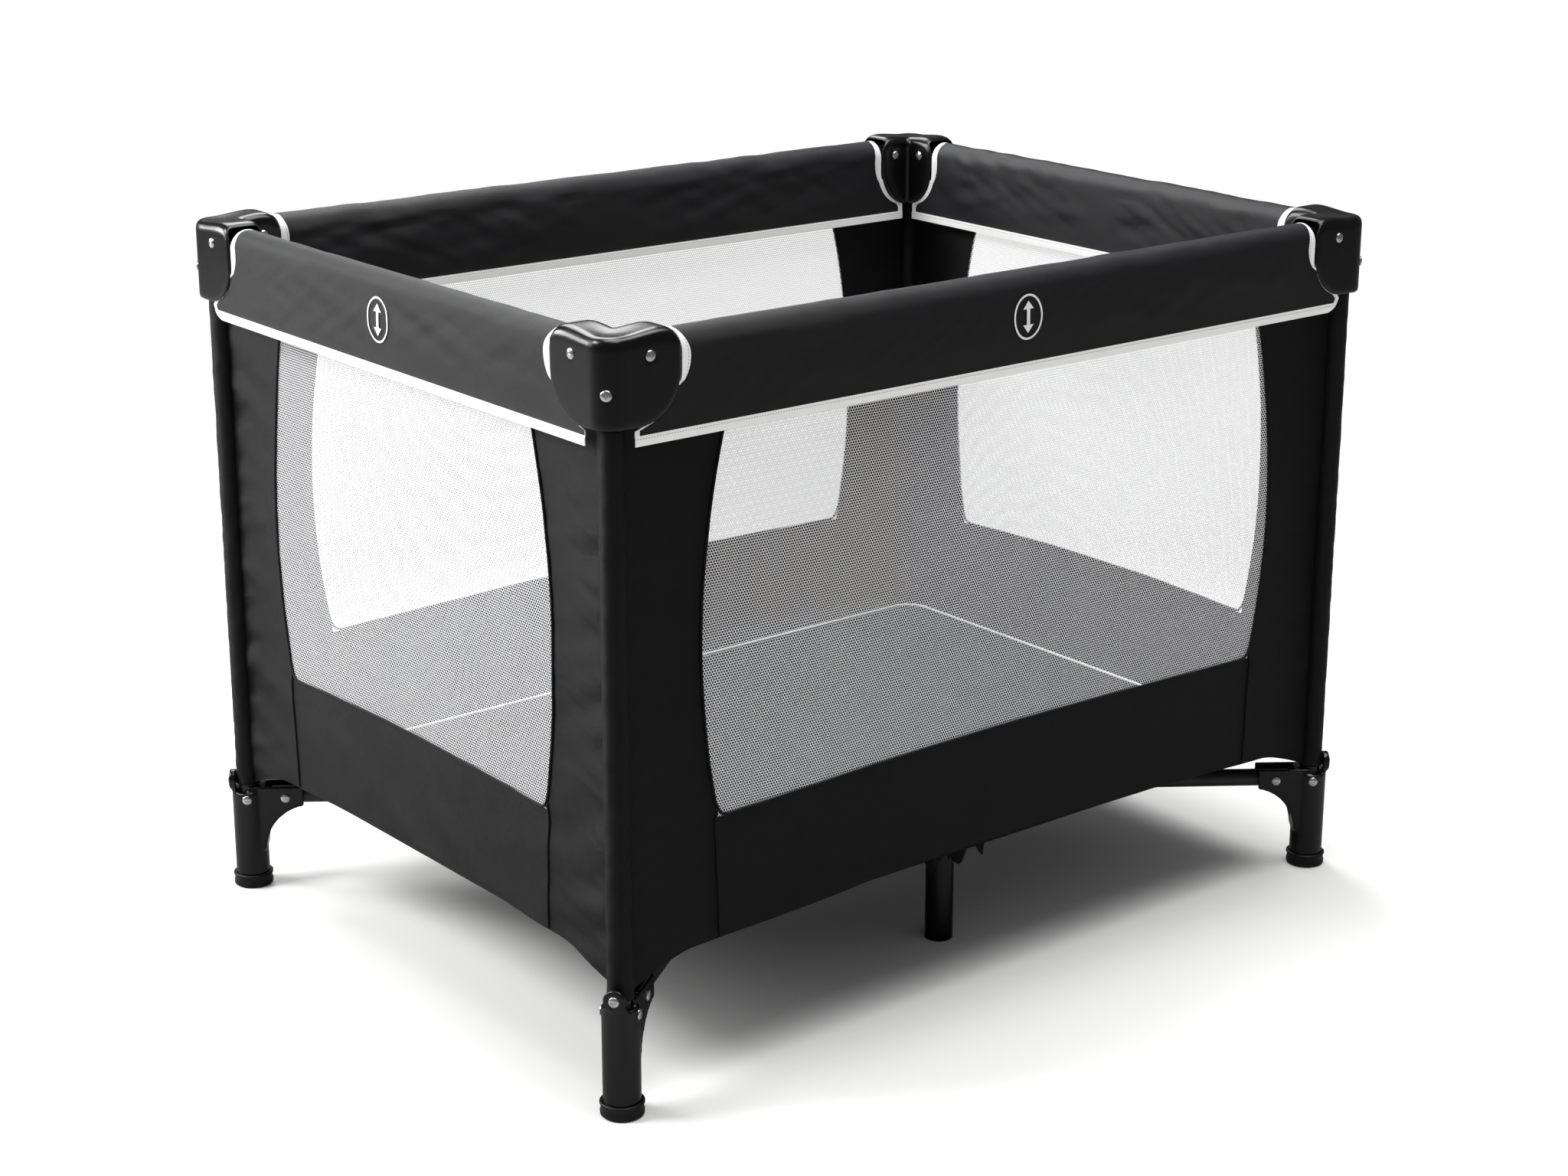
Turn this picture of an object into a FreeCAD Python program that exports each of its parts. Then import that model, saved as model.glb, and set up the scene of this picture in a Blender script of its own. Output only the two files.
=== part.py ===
import FreeCAD, Part
import os
import re

# Folding travel playpen. X runs along the long sides, Y along the short
# sides, Z up, floor at Z = 0 and the middle of the pen at X = Y = 0.
# "front" is the side at -Y, "left" the side at -X.

os.makedirs("parts", exist_ok=True)
doc = FreeCAD.newDocument("playpen")
sheet = doc.addObject("Spreadsheet::Sheet", "Sizes")
aliases = []


def size(alias, value):
    """One named driving size in millimetres."""
    row = len(aliases) + 1
    sheet.set("A%d" % row, alias)
    sheet.set("B%d" % row, str(value))
    sheet.setAlias("B%d" % row, alias)
    aliases.append(alias)


# overall
size("legx", 497.5)  # leg axis from the middle, along X
size("legy", 364.4)  # leg axis from the middle, along Y
size("pingap", 0.05)  # radial clearance of every pivot
size("sidegap", 0.3)  # clearance beside a tube in its fork
size("over", 1)  # how far a cutting shape runs past the faces it cuts
# legs
size("legrad", 11)
size("tubewall", 1.5)
size("legfoot", 20)  # height of the lower end of the leg tube
size("legtop", 768)
# corner brackets
size("face", 22.5)  # outer and inner faces from the leg axis
size("wingreach", 65)  # wing edge from the leg axis
size("bracketlow", 689)
size("brackettop", 779)
size("bracketwall", 4)
size("wingcurve", 48)  # big lower corner of the wing
size("wingcorner", 15)  # small upper corner of the wing
size("socketwall", 3.5)  # socket round the top of the leg
size("bossrad", 8)
size("legscrewz", 723)  # corner screw through the bracket and the leg
size("blindend", 3)  # metal left over the tip of each rail pivot screw
# top rails
size("railz", 755)
size("railrad", 11)
size("railpivot", 29)  # rail pivot from the leg axis
size("openpin", 1.9)  # radial play of the far latch pin, taken up in mid fold
size("railend", 8)  # tube beyond each pivot
size("pinrad", 3)
size("headrad", 5.5)
size("headhigh", 2)
size("innerscrew", 43.5)  # small screw in the inner wall of each wing
# latches in the middle of each rail
size("latchpin", 28)  # latch pin from the middle of the rail
size("latchhalf", 50)
size("cheekout", 15.5)
size("cheektop", 761)
size("latchlow", 712)
size("latchblock", 25)
size("webthick", 4)
size("swingroom", 14)  # web under the rail axis, clears the turning end
size("restgap", 0.2)  # rail over its rest pad
size("padstart", 36)
size("ribhalf", 6)
size("buttonrad", 10)
size("buttonz", 726)
size("buttongap", 0.3)
size("buttonface", 18.2)
size("buttonback", 8)
size("buttontravel", 5)
size("stemrad", 3.5)
size("stemlong", 10)
# cloth of the rails
size("sleevehalf", 20)
size("sleevecloth", 1.5)
size("sleevearc", 752)  # height where the round top starts
size("skirtlow", 672)
size("stripgap", 2)  # strip under the bracket
size("stripend", 13.5)
size("innerstripend", 27.5)
size("sleevegap", 1.5)
# walls
size("cloth", 1.6)
size("clothgap", 0.1)  # cloth or cap over the piece that it wraps
size("mesh", 0.6)
size("walltop", 687)
size("hem", 150)
size("tablow", 130)
size("tabreach", 46)
size("sleevelow", 123)
size("seamgap", 0.1)
size("windowside", 100)
size("windowlow", 284)
size("windowhigh", 680)
# feet
size("footwall", 8)  # foot round the lower end of the leg
size("footlow", 3)
size("foottop", 115)
size("flangewall", 4)
size("flangetip", 63)
size("flangetop", 121)
size("gussetlow", 45)
size("gussetcurve", 53)
size("earrad", 11.5)
size("earz", 127)
size("eargap", 0.5)  # ear clear of the cloth round the leg
size("earout", 2)  # outer face of the ear beyond the foot
size("earscrew", 2.5)
size("earroot", 4)  # the ear starts this far inside the foot
size("earscrewtip", 5)  # its screw stops this far from the leg axis
size("caplip", 3.4)  # cap beyond the foot
size("caphigh", 15)
# base
size("basez", 107.5)
size("baserad", 10)
size("footpivot", 42.5)  # base tube pivot from the leg axis
size("hubpivot", 45)  # base tube pivot from the middle
size("baseend", 16)
size("endroom", 19.4)  # slot beyond the pivot, clears the turning end
size("hubrad", 75)
size("hublow", 92)
size("hubtop", 133)
size("armx", 17)
size("armroom", 38)  # keeps the middle arms clear of the base tube pins
size("midlegroom", 114.4)  # middle legs inside the long sides
size("midlegrad", 15.5)
size("pinseat", 6)  # pin length inside the hub on each side
# soft floor
size("floorcloth", 1.5)
size("rimtop", 158)
size("slopex", 27)  # flat part of the floor cloth stops this far inside the legs
size("slopey", 45)
size("cornergap", 1.3)  # floor cloth clear of the cloth round the leg
size("mattressroomx", 29.5)  # mattress edge inside the leg axes
size("mattressroomy", 49.4)
size("mattressthick", 24)
size("mattresscorner", 30)
doc.recompute()


# Sizes that follow others, so that neighbours keep their fit.
follows = {
    "socketrad": "legrad + socketwall",
    "footrad": "legrad + footwall",
    "earinner": "legrad + clothgap + cloth + eargap",
    "earouter": "footrad + earout",
    "caprad": "footrad + caplip",
    "flangein": "baserad + sidegap",
    "stopend": "baserad + sidegap",
    "armpivot": "2 * baserad + armroom",
    "midlegy": "legy - midlegroom",
    "cornercut": "legrad + clothgap + cloth + cornergap",
    "mattressx": "legx - mattressroomx",
    "mattressy": "legy - mattressroomy",
}


def bind(text):
    """Expression text with every size name pointing at the sheet."""
    def swap(found):
        name = found.group(0)
        if name in follows:
            return "(%s)" % bind(follows[name])
        return "Sizes." + name if name in aliases else name
    return re.sub(r"[A-Za-z_][A-Za-z_0-9]*", swap, str(text))


def put(obj, at):
    """Bind the place of an object to three expressions."""
    for axis, value in zip("xyz", at):
        obj.setExpression("Placement.Base." + axis, bind(value))
    return obj


def box(name, x0, x1, y0, y1, z0, z1):
    """Box between three pairs of expressions."""
    obj = doc.addObject("Part::Box", name)
    for side, low, high in zip(("Length", "Width", "Height"), (x0, y0, z0), (x1, y1, z1)):
        obj.setExpression(side, bind("(%s) - (%s)" % (high, low)))
    return put(obj, (x0, y0, z0))


TURNS = {
    "x": FreeCAD.Rotation(FreeCAD.Vector(0, 0, 1), FreeCAD.Vector(1, 0, 0)),
    "y": FreeCAD.Rotation(FreeCAD.Vector(0, 0, 1), FreeCAD.Vector(0, 1, 0)),
    "z": FreeCAD.Rotation(),
    "out": FreeCAD.Rotation(FreeCAD.Vector(0, 0, 1), FreeCAD.Vector(-1, -1, 0)),
}


def rod(name, radius, start, long, axis="z"):
    """Cylinder from a start point along an axis."""
    obj = doc.addObject("Part::Cylinder", name)
    obj.setExpression("Radius", bind(radius))
    obj.setExpression("Height", bind(long))
    obj.Placement = FreeCAD.Placement(FreeCAD.Vector(), TURNS[axis])
    return put(obj, start)


def fuse(name, shapes):
    obj = doc.addObject("Part::MultiFuse", name)
    obj.Shapes = shapes
    return obj


def cut(name, base, tools):
    obj = doc.addObject("Part::Cut", name)
    obj.Base = base
    obj.Tool = tools[0] if len(tools) == 1 else fuse(name + "_tools", tools)
    return obj


def both(name, first, second):
    obj = doc.addObject("Part::Common", name)
    obj.Base = first
    obj.Tool = second
    return obj


def group(name, members):
    obj = doc.addObject("Part::Compound", name)
    obj.Links = members
    return obj


nodes = []


def node(label, master, at=("0", "0", "0"), angle="0 deg"):
    """One named piece: a master shape set at its place and turned about Z."""
    obj = doc.addObject("Part::Compound", label)
    obj.Label = label
    obj.Links = [master]
    obj.Placement = FreeCAD.Placement(FreeCAD.Vector(), FreeCAD.Rotation(FreeCAD.Vector(0, 0, 1), 1))
    put(obj, at)
    obj.setExpression("Placement.Rotation.Angle", bind(angle))
    nodes.append(obj)
    return obj


def turned(name, master, angle, at=("0", "0", "0")):
    """Copy of a master shape turned about Z."""
    obj = doc.addObject("Part::Compound", name)
    obj.Links = [master]
    obj.Placement = FreeCAD.Placement(FreeCAD.Vector(), FreeCAD.Rotation(FreeCAD.Vector(0, 0, 1), 1))
    put(obj, at)
    obj.setExpression("Placement.Rotation.Angle", bind(angle))
    return obj


def screw(name, radius, start, long, axis, ends):
    """Plain shank with a low round head on one or both ends."""
    parts = [rod(name + "_shank", radius, start, long, axis)]
    first = list(start)
    last = list(start)
    spot = "xyz".index(axis)
    first[spot] = "(%s) - headhigh" % start[spot]
    last[spot] = "(%s) + (%s)" % (start[spot], long)
    if "first" in ends:
        parts.append(rod(name + "_head", "headrad", first, "headhigh", axis))
    if "last" in ends:
        parts.append(rod(name + "_nut", "headrad", last, "headhigh", axis))
    return fuse(name, parts)


# ---------------------------------------------------------------- corners
# Local frame of a corner: leg axis at the origin, wings along +X and +Y.

def wing(name):
    """Solid D-shaped wing along +X, before it is hollowed."""
    outline = fuse(name + "_outline", [
        box(name + "_a", "0", "wingreach - wingcorner", "-face", "face", "bracketlow + wingcurve",
            "brackettop"),
        box(name + "_b", "0", "wingreach", "-face", "face", "bracketlow + wingcurve",
            "brackettop - wingcorner"),
        box(name + "_c", "0", "wingreach - wingcurve", "-face", "face", "bracketlow", "brackettop"),
        rod(name + "_d", "wingcurve", ("wingreach - wingcurve", "-face", "bracketlow + wingcurve"),
            "2 * face", "y"),
        rod(name + "_e", "wingcorner", ("wingreach - wingcorner", "-face", "brackettop - wingcorner"),
            "2 * face", "y"),
    ])
    return both(name, outline, box(name + "_limit", "0", "wingreach", "-face", "face", "bracketlow",
        "brackettop"))


def channel(name):
    """Room inside a wing, open below and at its end."""
    return box(name, "0", "wingreach + over", "bracketwall - face", "face - bracketwall",
        "bracketlow - over", "brackettop - bracketwall")


def bosses(name):
    """Two bosses that hold the rail pivot screw."""
    reach = "face - bracketwall - railrad - sidegap"
    return [
        rod(name + "_a", "bossrad", ("railpivot", "bracketwall - face", "railz"), reach, "y"),
        rod(name + "_b", "bossrad", ("railpivot", "railrad + sidegap", "railz"), reach, "y"),
    ]


wing_x = wing("wing_x")
wing_y = turned("wing_y", wing("wing_y0"), "90 deg")
corner_round = rod("corner_round", "face", ("0", "0", "bracketlow"), "brackettop - bracketlow")
shell = fuse("bracket_solid", [wing_x, wing_y, corner_round])
room_x = channel("room_x")
room_y = turned("room_y", channel("room_y0"), "90 deg")
hollow = cut("bracket_hollow", shell, [room_x, room_y])
socket = rod("socket", "socketrad", ("0", "0", "bracketlow"), "brackettop - bracketlow")
boss_x = bosses("boss_x")
boss_y = [turned("boss_y_t%d" % i, b, "90 deg") for i, b in enumerate(bosses("boss_y"))]
filled = fuse("bracket_filled", [hollow, socket] + boss_x + boss_y)
leg_bore = rod("leg_bore", "legrad + pingap", ("0", "0", "bracketlow - over"), "legtop - bracketlow + over")
bore_x = rod("rail_bore_x", "pinrad + pingap", ("railpivot", "-face - over", "railz"),
    "2 * face - over", "y")
bore_y = rod("rail_bore_y", "pinrad + pingap", ("-face - over", "railpivot", "railz"),
    "2 * face - over", "x")
inner_bore_x = rod("inner_bore_x", "earscrew + pingap", ("innerscrew", "0", "railz"), "face + over", "y")
inner_bore_y = rod("inner_bore_y", "earscrew + pingap", ("0", "innerscrew", "railz"), "face + over", "x")
leg_screw_bore = rod("leg_screw_bore", "earscrew + pingap", ("0", "0", "legscrewz"), "face + 2 * over",
    "out")
bracket = cut("bracket", cut("bracket_bored", filled, [leg_bore, bore_x, bore_y, leg_screw_bore]), [
    both("inner_bore_x_wall", inner_bore_x, box(
        "inner_limit_x", "0", "wingreach", "face - bracketwall - over", "face + over", "bracketlow",
            "brackettop")),
    both("inner_bore_y_wall", inner_bore_y, box(
        "inner_limit_y", "face - bracketwall - over", "face + over", "0", "wingreach", "bracketlow",
            "brackettop")),
])
rail_screw_x = screw("rail_screw_x", "pinrad", ("railpivot", "-face", "railz"), "2 * face - blindend",
    "y", ("first",))
rail_screw_y = screw("rail_screw_y", "pinrad", ("-face", "railpivot", "railz"), "2 * face - blindend",
    "x", ("first",))
inner_screw_x = screw(
    "inner_screw_x", "earscrew", ("innerscrew", "face - bracketwall", "railz"), "bracketwall", "y",
        ("last",))
inner_screw_y = screw(
    "inner_screw_y", "earscrew", ("face - bracketwall", "innerscrew", "railz"), "bracketwall", "x",
        ("last",))
leg_screw = fuse("leg_screw", [
    rod("leg_screw_shank", "earscrew", ("0", "0", "legscrewz"), "face", "out"),
    rod("leg_screw_head", "headrad", ("-face * sqrt(0.5)", "-face * sqrt(0.5)", "legscrewz"),
        "headhigh", "out"),
])
bracket_screws = group("bracket_screws", [rail_screw_x, rail_screw_y, inner_screw_x, inner_screw_y,
    leg_screw])

# Local frame of a foot: leg axis at the origin, base tube along +X.
foot_body = rod("foot_body", "footrad", ("0", "0", "footlow"), "foottop - footlow")
flange_box = box("flange_box", "0", "flangetip", "-flangein - flangewall", "flangein + flangewall",
    "gussetlow", "flangetop")
gusset_cut = rod(
    "gusset_cut", "gussetcurve", ("footrad + gussetcurve", "-footrad", "gussetlow"), "2 * footrad", "y")
flange = cut("flange", flange_box, [gusset_cut])
ear = rod("ear", "earrad", ("-earouter", "0", "earz"), "earouter - earinner", "x")
ear_neck = box("ear_neck", "-footrad", "-earinner", "-earrad", "earrad", "foottop - earroot", "earz")
foot_solid = fuse("foot_solid", [foot_body, flange, ear, both("ear_root", ear_neck, rod(
    "ear_round", "footrad", ("0", "0", "foottop - earroot - over"), "2 * earrad"))])
tube_room = box("tube_room", "footrad", "flangetip + over", "-flangein", "flangein", "gussetlow - over",
    "flangetop + over")
foot_bore = rod("foot_bore", "legrad + pingap", ("0", "0", "legfoot"), "flangetop")
foot_pin_bore = rod(
    "foot_pin_bore", "pinrad + pingap", ("footpivot", "-footrad", "basez"), "2 * footrad", "y")
foot_leg_bore = rod("foot_leg_bore", "pinrad + pingap", ("0", "-footrad - over", "basez"),
    "2 * footrad + 2 * over", "y")
ear_bore = rod("ear_bore", "earscrew + pingap", ("-earouter - over", "0", "earz"), "earouter", "x")
foot = cut("foot", foot_solid, [tube_room, foot_bore, foot_pin_bore, foot_leg_bore, ear_bore])
pivot_screw = screw(
    "pivot_screw", "pinrad", ("footpivot", "-flangein - flangewall", "basez"),
    "2 * (flangein + flangewall)", "y", ("first", "last"))
foot_leg_screw = screw(
    "foot_leg_screw", "pinrad", ("0", "-footrad", "basez"), "2 * footrad", "y", ("first", "last"))
ear_screw = screw("ear_screw", "earscrew", ("-earouter", "0", "earz"), "earouter - earscrewtip", "x",
    ("first",))
foot_screws = group("foot_screws", [pivot_screw, foot_leg_screw, ear_screw])
cap = cut("cap", rod("cap_solid", "caprad", ("0", "0", "0"), "caphigh"), [
    rod("cap_bore", "footrad + clothgap", ("0", "0", "footlow"), "caphigh")])

# Leg tube in the corner frame; its lower screw holes follow the foot.
leg_out = rod("leg_out", "legrad", ("0", "0", "legfoot"), "legtop - legfoot")
leg_in = rod("leg_in", "legrad - tubewall", ("0", "0", "legfoot - over"), "legtop - legfoot + 2 * over")
leg_top_bore = rod("leg_top_bore", "earscrew + pingap", ("0", "0", "legscrewz"), "face", "out")
foot_holes = group("foot_holes", [
    rod("leg_hole_side", "pinrad + pingap", ("0", "-footrad", "basez"), "2 * footrad", "y"),
    rod("leg_hole_ear", "earscrew + pingap", ("-footrad", "0", "earz"), "footrad", "x"),
])

CORNERS = (
    ("nl", "-legx", "-legy", "0 deg", "atan2(legy; legx)"),
    ("nr", "legx", "-legy", "90 deg", "180 deg - atan2(legy; legx)"),
    ("fr", "legx", "legy", "180 deg", "180 deg + atan2(legy; legx)"),
    ("fl", "-legx", "legy", "270 deg", "360 deg - atan2(legy; legx)"),
)
holes_by_corner = {}
for tag, x, y, turn, aim in CORNERS:
    node("corner_bracket_" + tag, bracket, (x, y, "0"), turn)
    node("bracket_screws_" + tag, bracket_screws, (x, y, "0"), turn)
    holes_by_corner[tag] = turned("foot_holes_" + tag, foot_holes, "(%s) - (%s)" % (aim, turn))
    leg = cut("leg_" + tag, leg_out, [leg_in, leg_top_bore, holes_by_corner[tag]])
    node("leg_tube_" + tag, leg, (x, y, "0"), turn)
    node("foot_" + tag, foot, (x, y, "0"), aim)
    node("foot_screws_" + tag, foot_screws, (x, y, "0"), aim)
    node("foot_cap_" + tag, cap, (x, y, "0"), aim)

# ---------------------------------------------------------------- base
# Local frame of a base tube: foot pivot at the origin, hub along +X.
span = "sqrt(legx * legx + legy * legy) - footpivot - hubpivot"
base_tube = cut("base_tube", rod("base_out", "baserad", ("-baseend", "0", "0"), span + " + 2 * baseend",
    "x"), [
    rod("base_in", "baserad - tubewall", ("-baseend - over", "0", "0"),
        span + " + 2 * baseend + 2 * over", "x"),
    rod("base_hole_a", "pinrad + pingap", ("0", "-baserad - over", "0"), "2 * baserad + 2 * over", "y"),
    rod("base_hole_b", "pinrad + pingap", (span, "-baserad - over", "0"), "2 * baserad + 2 * over", "y"),
])
for tag, x, y, turn, aim in CORNERS:
    start = ("(%s) + footpivot * cos(%s)" % (x, aim), "(%s) + footpivot * sin(%s)" % (y, aim), "basez")
    node("base_tube_" + tag, base_tube, start, aim)

# Local frame of a hub slot: middle of the hub at the origin, tube along +X.
def slot(name, pivot, side="0"):
    return box(
        name, "%s - endroom" % pivot, "hubrad + over", "%s - flangein" % side, "%s + flangein" % side,
        "hublow - over", "hubtop + over")


def stop(name, pivot, side="0"):
    return box(
        name, "%s - endroom - over" % pivot, "%s - stopend" % pivot, "%s - flangein - over" % side,
        "%s + flangein + over" % side, "hublow", "basez - baserad - restgap")


def pin(name, pivot, side="0"):
    return rod(
        name, "pinrad", (pivot, "%s - flangein - pinseat" % side, "basez"), "2 * (flangein + pinseat)", "y")


hub_slots = []
hub_stops = []
hub_pin_list = []
for tag, x, y, turn, aim in CORNERS:
    hub_slots.append(turned("slot_" + tag, slot("slot0_" + tag, "hubpivot"), aim))
    hub_stops.append(turned("stop_" + tag, stop("stop0_" + tag, "hubpivot"), aim))
    hub_pin_list.append(turned("pin_" + tag, pin("pin0_" + tag, "hubpivot"), aim))
for tag, turn in (("back", "90 deg"), ("front", "270")):
    hub_slots.append(turned("slot_" + tag, slot("slot0_" + tag, "armpivot", "armx"), turn))
    hub_stops.append(turned("stop_" + tag, stop("stop0_" + tag, "armpivot", "armx"), turn))
    hub_pin_list.append(turned("pin_" + tag, pin("pin0_" + tag, "armpivot", "armx"), turn))
hub_disc = rod("hub_disc", "hubrad", ("0", "0", "hublow"), "hubtop - hublow")
hub_open = cut("hub_open", hub_disc, hub_slots)
hub_stopped = fuse("hub_stopped", [hub_open] + hub_stops)
node("hub", cut("hub_shape", hub_stopped, hub_pin_list))
node("hub_pins", group("hub_pin_set", hub_pin_list))

# Middle arm frame: middle of the pen at the origin, arm along +X.
arm_tube = cut("arm_tube", rod("arm_out", "baserad", ("armpivot - baseend", "armx", "basez"),
    "midlegy - armpivot + baseend", "x"), [
    rod("arm_in", "baserad - tubewall", ("armpivot - baseend - over", "armx", "basez"),
        "midlegy - armpivot + baseend + 2 * over", "x"),
    rod("arm_hole", "pinrad + pingap", ("armpivot", "armx - baserad - over", "basez"),
        "2 * baserad + 2 * over", "y"),
])
mid_leg = cut("mid_leg_shape", rod("mid_leg_solid", "midlegrad", ("midlegy", "armx", "0"), "hubtop"), [
    rod("mid_leg_bore", "baserad + pingap", ("midlegy - midlegrad - over", "armx", "basez"),
        "midlegrad + over", "x")])
for tag, turn in (("back", "90 deg"), ("front", "270")):
    node("mid_arm_" + tag, arm_tube, angle=turn)
    node("mid_leg_" + tag, mid_leg, angle=turn)

# ---------------------------------------------------------------- rails
# Local frame of a side: middle of the rail over the origin, rail along X,
# outer side at -Y.
SIDES = (
    ("front", "0", "-legy", "0 deg", "legx"),
    ("right", "legx", "0", "90 deg", "legy"),
    ("back", "0", "legy", "180 deg", "legx"),
    ("left", "-legx", "0", "270 deg", "legy"),
)


def rail_half(name, half, play):
    """Left half of a rail, from its bracket pivot to its latch pin."""
    low = "railpivot - (%s) - railend" % half
    long = "(%s) - railpivot - latchpin + 2 * railend" % half
    out = rod(name + "_out", "railrad", (low, "0", "railz"), long, "x")
    return cut(name, out, [
        rod(name + "_in", "railrad - tubewall", (low + " - over", "0", "railz"), long + " + 2 * over", "x"),
        rod(name + "_ha", "pinrad + pingap", ("railpivot - (%s)" % half, "-railrad - over", "railz"),
            "2 * railrad + 2 * over", "y"),
        rod(name + "_hb", "pinrad + " + play, ("-latchpin", "-railrad - over", "railz"),
            "2 * railrad + 2 * over", "y"),
    ])


web_top = "railz - swingroom"
latch_box = box("latch_box", "-latchblock", "latchblock", "-cheekout", "cheekout", "latchlow", web_top)
latch_web = box("latch_web", "-latchhalf", "latchhalf", "-cheekout", "cheekout",
    web_top + " - webthick", web_top)
pads = [
    box("pad_a", "-latchhalf", "-padstart", "-cheekout", "cheekout", web_top + " - over",
        "railz - railrad - restgap"),
    box("pad_b", "padstart", "latchhalf", "-cheekout", "cheekout", web_top + " - over",
        "railz - railrad - restgap"),
]
cheeks = [
    box("cheek_a", "-latchhalf", "latchhalf", "-cheekout", "-railrad - sidegap",
        web_top + " - webthick", "cheektop"),
    box("cheek_b", "-latchhalf", "latchhalf", "railrad + sidegap", "cheekout", web_top + " - webthick",
        "cheektop"),
]
rib = both(
    "rib", box("rib_box", "-ribhalf", "ribhalf", "-cheekout", "cheekout", web_top + " - over",
        "sleevearc + sleevehalf"),
    rod("rib_round", "sleevehalf - sleevecloth - clothgap", ("-ribhalf", "0", "sleevearc"),
        "2 * ribhalf", "x"))
latch_pins = [
    rod("latch_pin_a", "pinrad", ("-latchpin", "-cheekout + over", "railz"), "2 * cheekout - 2 * over",
        "y"),
    rod("latch_pin_b", "pinrad", ("latchpin", "-cheekout + over", "railz"), "2 * cheekout - 2 * over", "y"),
]
latch_solid = fuse("latch_solid", [latch_box, latch_web, rib] + pads + cheeks + latch_pins)
latch = cut("latch", latch_solid, [
    rod("button_room", "buttonrad + buttongap", ("0", "-cheekout - over", "buttonz"),
        "cheekout + over - buttonback + buttontravel + over", "y"),
    rod("stem_room", "stemrad + buttongap", ("0", "-buttonback", "buttonz"),
        "stemlong + buttontravel + 2 * over", "y"),
])
button = fuse("button", [
    rod("button_cap", "buttonrad", ("0", "-buttonface", "buttonz"), "buttonface - buttonback", "y"),
    rod("button_stem", "stemrad", ("0", "-buttonback - over", "buttonz"), "stemlong + over", "y"),
])


def rail_sleeve(name, half):
    """Cloth over one rail: round top, two skirts, strips under the brackets."""
    reach = "(%s) - wingreach - sleevegap" % half
    skin = "sleevehalf - sleevecloth"
    outer = fuse(name + "_outer", [
        box(name + "_ob", "-(%s)" % reach, reach, "-sleevehalf", "sleevehalf", "skirtlow", "sleevearc"),
        rod(name + "_oc", "sleevehalf", ("-(%s)" % reach, "0", "sleevearc"), "2 * (%s)" % reach, "x"),
    ])
    inner = fuse(name + "_inner", [
        box(name + "_ib", "-(%s) - over" % reach, reach + " + over", "-(%s)" % skin, skin,
            "skirtlow - over", "sleevearc"),
        rod(name + "_ic", skin, ("-(%s) - over" % reach, "0", "sleevearc"),
            "2 * (%s) + 2 * over" % reach, "x"),
    ])
    outside = "(%s) - stripend" % half
    inside = "(%s) - innerstripend" % half
    top = "bracketlow - stripgap"
    strips = [
        box(name + "_sa", reach + " - over", outside, "-sleevehalf", "-(%s)" % skin, "skirtlow", top),
        box(name + "_sb", "-(%s)" % outside, "-(%s) + over" % reach, "-sleevehalf", "-(%s)" % skin,
            "skirtlow", top),
        box(name + "_sc", reach + " - over", inside, skin, "sleevehalf", "skirtlow", top),
        box(name + "_sd", "-(%s)" % inside, "-(%s) + over" % reach, skin, "sleevehalf", "skirtlow", top),
    ]
    return fuse(name, [cut(name + "_shell", outer, [inner])] + strips)


rail_by_half = {half: rail_half("rail_" + half, half, "pingap") for half in ("legx", "legy")}
far_rail_by_half = {half: rail_half("far_rail_" + half, half, "openpin") for half in ("legx", "legy")}
sleeve_by_half = {half: rail_sleeve("sleeve_" + half, half) for half in ("legx", "legy")}
for tag, x, y, turn, half in SIDES:
    node("rail_tube_%s_a" % tag, rail_by_half[half], (x, y, "0"), turn)
    node("rail_tube_%s_b" % tag, far_rail_by_half[half], (x, y, "0"), "(%s) + 180 deg" % turn)
    node("latch_housing_" + tag, latch, (x, y, "0"), turn)
    node("latch_button_" + tag, button, (x, y, "0"), turn)
    node("rail_sleeve_" + tag, sleeve_by_half[half], (x, y, "0"), turn)

# ---------------------------------------------------------------- cloth walls
# Corner frame again: panels run along +X and +Y to the middle of each side.

def panel(name, half):
    """Cloth panel along +X with the thin mesh window let into it."""
    sheet_box = box(name + "_sheet", "legrad", "(%s) - seamgap" % half, "-cloth / 2", "cloth / 2",
        "hem", "walltop")
    tab = box(name + "_tab", "legrad", "tabreach", "-cloth / 2", "cloth / 2", "tablow", "hem + over")
    window = [
        box(name + "_wa", "windowside", half, "-cloth", "-mesh / 2", "windowlow", "windowhigh"),
        box(name + "_wb", "windowside", half, "mesh / 2", "cloth", "windowlow", "windowhigh"),
    ]
    return cut(name, fuse(name + "_cloth", [sheet_box, tab]), window)


def wall(name, first, second, holes):
    """Two panels and the sleeve round the leg, with the hole for the ear screw."""
    tube = rod(name + "_tube", "legrad + clothgap + cloth", ("0", "0", "sleevelow"), "walltop - sleevelow")
    body = fuse(name + "_body", [tube, panel(name + "_px", first), turned(name + "_py",
        panel(name + "_py0", second), "90 deg")])
    return cut(name, body, [rod(name + "_bore", "legrad + clothgap", ("0", "0", "sleevelow - over"),
        "walltop - sleevelow + 2 * over"), holes])


WALL_SPANS = {"nl": ("legx", "legy"), "nr": ("legy", "legx"), "fr": ("legx", "legy"), "fl": ("legy",
    "legx")}
for tag, x, y, turn, aim in CORNERS:
    first, second = WALL_SPANS[tag]
    node("cloth_wall_" + tag, wall("wall_" + tag, first, second, holes_by_corner[tag]), (x, y, "0"), turn)

# ---------------------------------------------------------------- floor
rim_x = "legx - cloth / 2"
rim_y = "legy - cloth / 2"


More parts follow.
